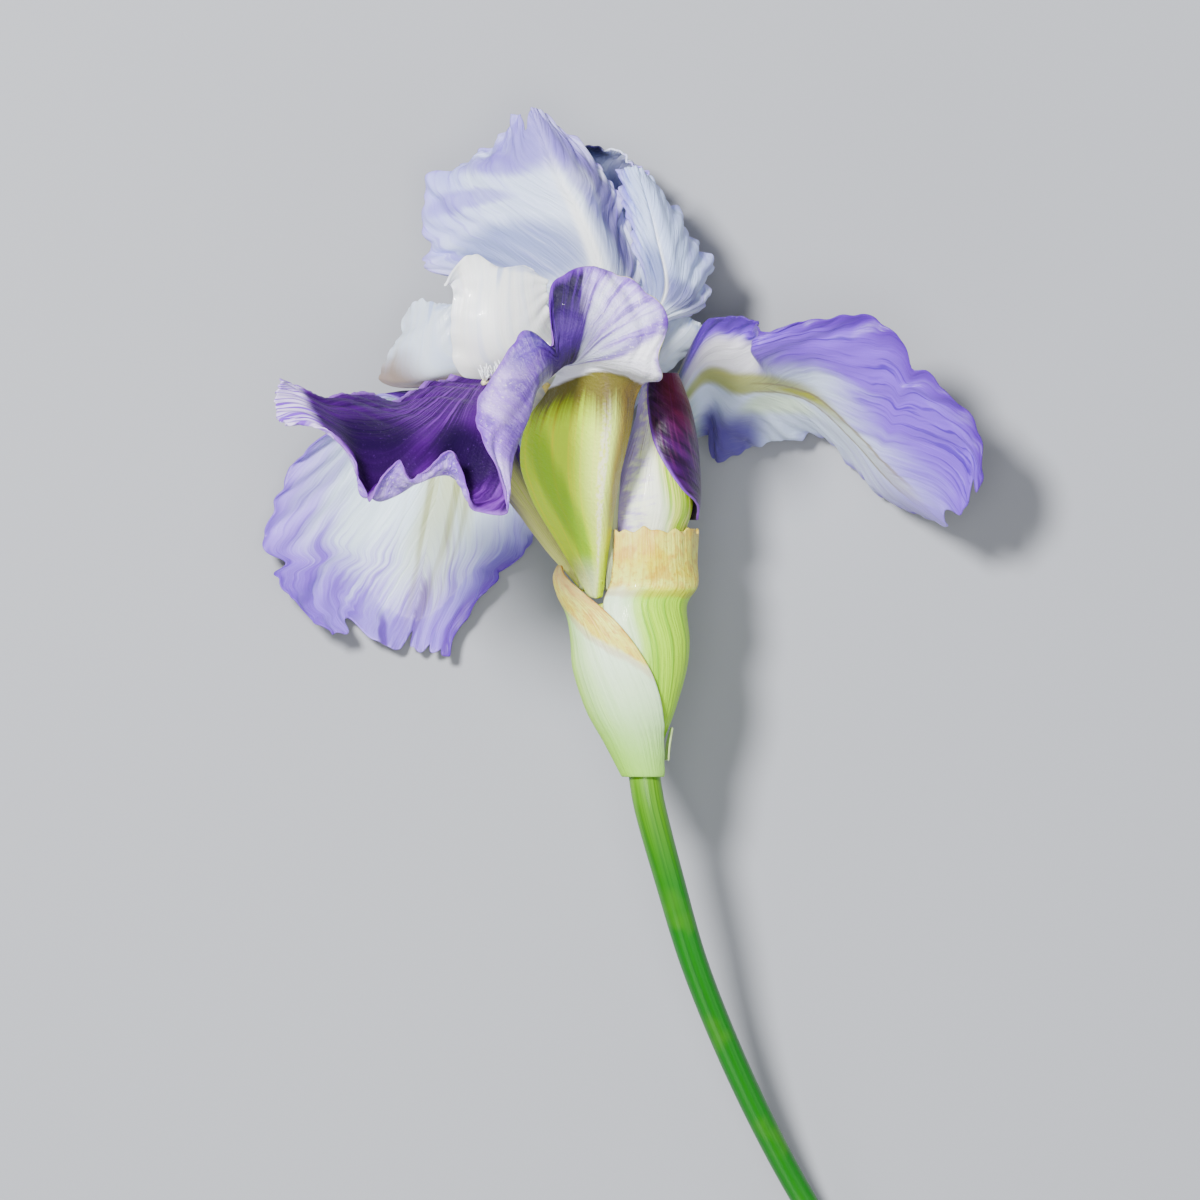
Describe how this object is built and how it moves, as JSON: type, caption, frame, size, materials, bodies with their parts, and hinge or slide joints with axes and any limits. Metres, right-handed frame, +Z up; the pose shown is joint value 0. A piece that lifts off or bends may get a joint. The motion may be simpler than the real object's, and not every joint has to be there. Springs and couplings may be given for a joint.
{
  "type": "cut bearded iris",
  "caption": "Cut bearded iris lying on its back: open white and violet bloom with ruffled falls, beards and style arms, a furled bud, bracts and a curved green stem.",
  "frame": {"origin": "middle of the underside, on the surface that the cut flower lies on", "axes": "+Y runs up the flower from the stem's cut end to the standards, +X to the flower's right, +Z up, away from the surface"},
  "size_m": [0.1448, 0.2488, 0.1009],
  "materials": {
    "petal_white": "thin petal, near white with a lilac flush at its edge, faint sheen",
    "style_white": "thick white petal tissue with a soft sheen",
    "fall_violet": "velvety deep violet above, pale lavender with veins beneath, greenish haft",
    "beard_white": "fine white hairs",
    "pollen": "pale filament with powdery anther",
    "bud_purple": "furled dark purple petal, satin",
    "bud_green": "furled petal back, greenish white with purple feathering",
    "bract_green": "ribbed green bract with a papery straw edge",
    "bract_papery": "dry papery bract",
    "stem_green": "smooth green stem, satin"
  },
  "bodies": {
    "root": {"stem": "stem_green", "ovary_tube": "bract_green", "bract_left": "bract_green", "bract_right": "bract_green", "bract_small": "bract_papery", "bud_core": "bud_green", "bud_fall_a": "bud_purple", "bud_fall_b": "bud_green", "bud_fall_c": "bud_green", "fall_front": "fall_violet", "fall_left": "fall_violet", "fall_right": "fall_violet", "standard_left": "petal_white", "standard_right": "petal_white", "standard_back": "petal_white", "style_front": "style_white", "style_left": "style_white", "style_right": "style_white", "stamen_front": "pollen", "stamen_left": "pollen", "stamen_right": "pollen", "beard_front": "beard_white", "beard_left": "beard_white", "beard_right": "beard_white"}
  },
  "joints": []
}
